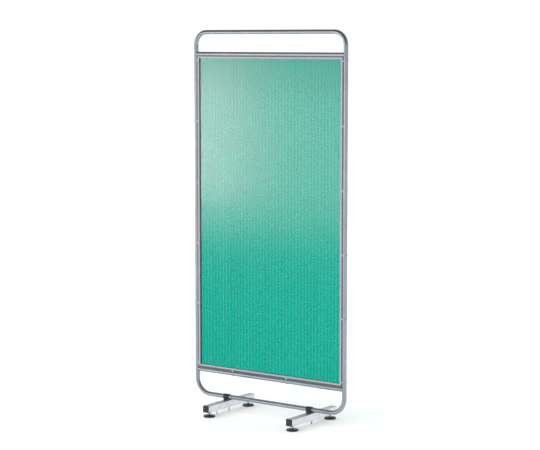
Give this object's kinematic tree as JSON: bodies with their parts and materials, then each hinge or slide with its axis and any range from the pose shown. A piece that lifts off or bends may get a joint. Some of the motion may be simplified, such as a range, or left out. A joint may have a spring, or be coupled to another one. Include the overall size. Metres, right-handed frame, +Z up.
{
  "type": "free-standing shop screen",
  "caption": "Free-standing screen: a ribbed see-through green sheet edge-framed in a round tube loop on two clamped square-tube feet with screw-in levelling pads.",
  "frame": {"origin": "on the floor, half way between the foot ends and half way between the posts", "axes": "+X along the screen to the right, +Y from the front to the back, +Z up"},
  "size_m": [0.9058, 0.372, 1.8726],
  "materials": {
    "tube_metal": "satin, bluish silver",
    "edge_bar": "satin",
    "green_sheet": "ribbed, see-through",
    "dark_rubber": "dull, soft",
    "foot_metal": "bright satin",
    "black_plastic": "fine moulded grain",
    "zinc": "zinc plated"
  },
  "bodies": {
    "screen": {"frame_tube_upper": "tube_metal", "frame_tube_lower": "tube_metal", "joint_sleeve_left": "zinc", "joint_sleeve_right": "zinc", "top_rail": "tube_metal", "bottom_rail": "tube_metal", "panel_frame_bottom": "edge_bar", "seal_strip_bottom": "dark_rubber", "panel_frame_top": "edge_bar", "seal_strip_top": "dark_rubber", "panel_frame_left": "edge_bar", "seal_strip_left": "dark_rubber", "panel_frame_right": "edge_bar", "seal_strip_right": "dark_rubber", "panel_sheet": "green_sheet", "post_screw_left_1": "zinc", "post_screw_left_2": "zinc", "post_screw_left_3": "zinc", "post_screw_left_4": "zinc", "post_screw_left_5": "zinc", "post_screw_left_6": "zinc", "post_screw_right_1": "zinc", "post_screw_right_2": "zinc", "post_screw_right_3": "zinc", "post_screw_right_4": "zinc", "post_screw_right_5": "zinc", "post_screw_right_6": "zinc", "rail_screw_1": "zinc", "rail_screw_2": "zinc", "foot_tube_left": "foot_metal", "clamp_block_left": "black_plastic", "clamp_bolt_left": "zinc", "clamp_washer_left": "zinc", "clamp_nut_left": "zinc", "foot_cap_left_front": "black_plastic", "foot_insert_left_front": "black_plastic", "foot_cap_left_rear": "black_plastic", "foot_insert_left_rear": "black_plastic", "foot_tube_right": "foot_metal", "clamp_block_right": "black_plastic", "clamp_bolt_right": "zinc", "clamp_washer_right": "zinc", "clamp_nut_right": "zinc", "foot_cap_right_front": "black_plastic", "foot_insert_right_front": "black_plastic", "foot_cap_right_rear": "black_plastic", "foot_insert_right_rear": "black_plastic", "foot_pin_left": "zinc"},
    "pad_left_front": {"level_pad_left_front": "black_plastic"},
    "stud_left_front": {"level_stud_left_front": "zinc"},
    "pad_left_rear": {"level_pad_left_rear": "black_plastic"},
    "stud_left_rear": {"level_stud_left_rear": "zinc"},
    "pad_right_front": {"level_pad_right_front": "black_plastic"},
    "stud_right_front": {"level_stud_right_front": "zinc"},
    "pad_right_rear": {"level_pad_right_rear": "black_plastic"},
    "stud_right_rear": {"level_stud_right_rear": "zinc"}
  },
  "joints": [
    {"name": "level_left_front", "type": "slide", "parent": "screen", "child": "pad_left_front", "axis": [0, 0, -1], "range_m": [-0.002, 0.015]},
    {"name": "stud_turn_left_front", "type": "hinge", "parent": "pad_left_front", "child": "stud_left_front", "pos_m": [-0.2555, -0.157, 0.02], "axis": [0, 0, -1], "range_deg": [-581, 4325]},
    {"name": "level_left_rear", "type": "slide", "parent": "screen", "child": "pad_left_rear", "axis": [0, 0, -1], "range_m": [-0.002, 0.015]},
    {"name": "stud_turn_left_rear", "type": "hinge", "parent": "pad_left_rear", "child": "stud_left_rear", "pos_m": [-0.2555, 0.157, 0.02], "axis": [0, 0, -1], "range_deg": [-581, 4325]},
    {"name": "level_right_front", "type": "slide", "parent": "screen", "child": "pad_right_front", "axis": [0, 0, -1], "range_m": [-0.002, 0.015]},
    {"name": "stud_turn_right_front", "type": "hinge", "parent": "pad_right_front", "child": "stud_right_front", "pos_m": [0.2415, -0.157, 0.02], "axis": [0, 0, -1], "range_deg": [-581, 4325]},
    {"name": "level_right_rear", "type": "slide", "parent": "screen", "child": "pad_right_rear", "axis": [0, 0, -1], "range_m": [-0.002, 0.015]},
    {"name": "stud_turn_right_rear", "type": "hinge", "parent": "pad_right_rear", "child": "stud_right_rear", "pos_m": [0.2415, 0.157, 0.02], "axis": [0, 0, -1], "range_deg": [-581, 4325]}
  ],
  "couplings": [
    {"joint": "stud_turn_left_front", "follows": "level_left_front", "rad_per_m": 5026.5},
    {"joint": "stud_turn_left_rear", "follows": "level_left_rear", "rad_per_m": 5026.5},
    {"joint": "stud_turn_right_front", "follows": "level_right_front", "rad_per_m": 5026.5},
    {"joint": "stud_turn_right_rear", "follows": "level_right_rear", "rad_per_m": 5026.5}
  ]
}
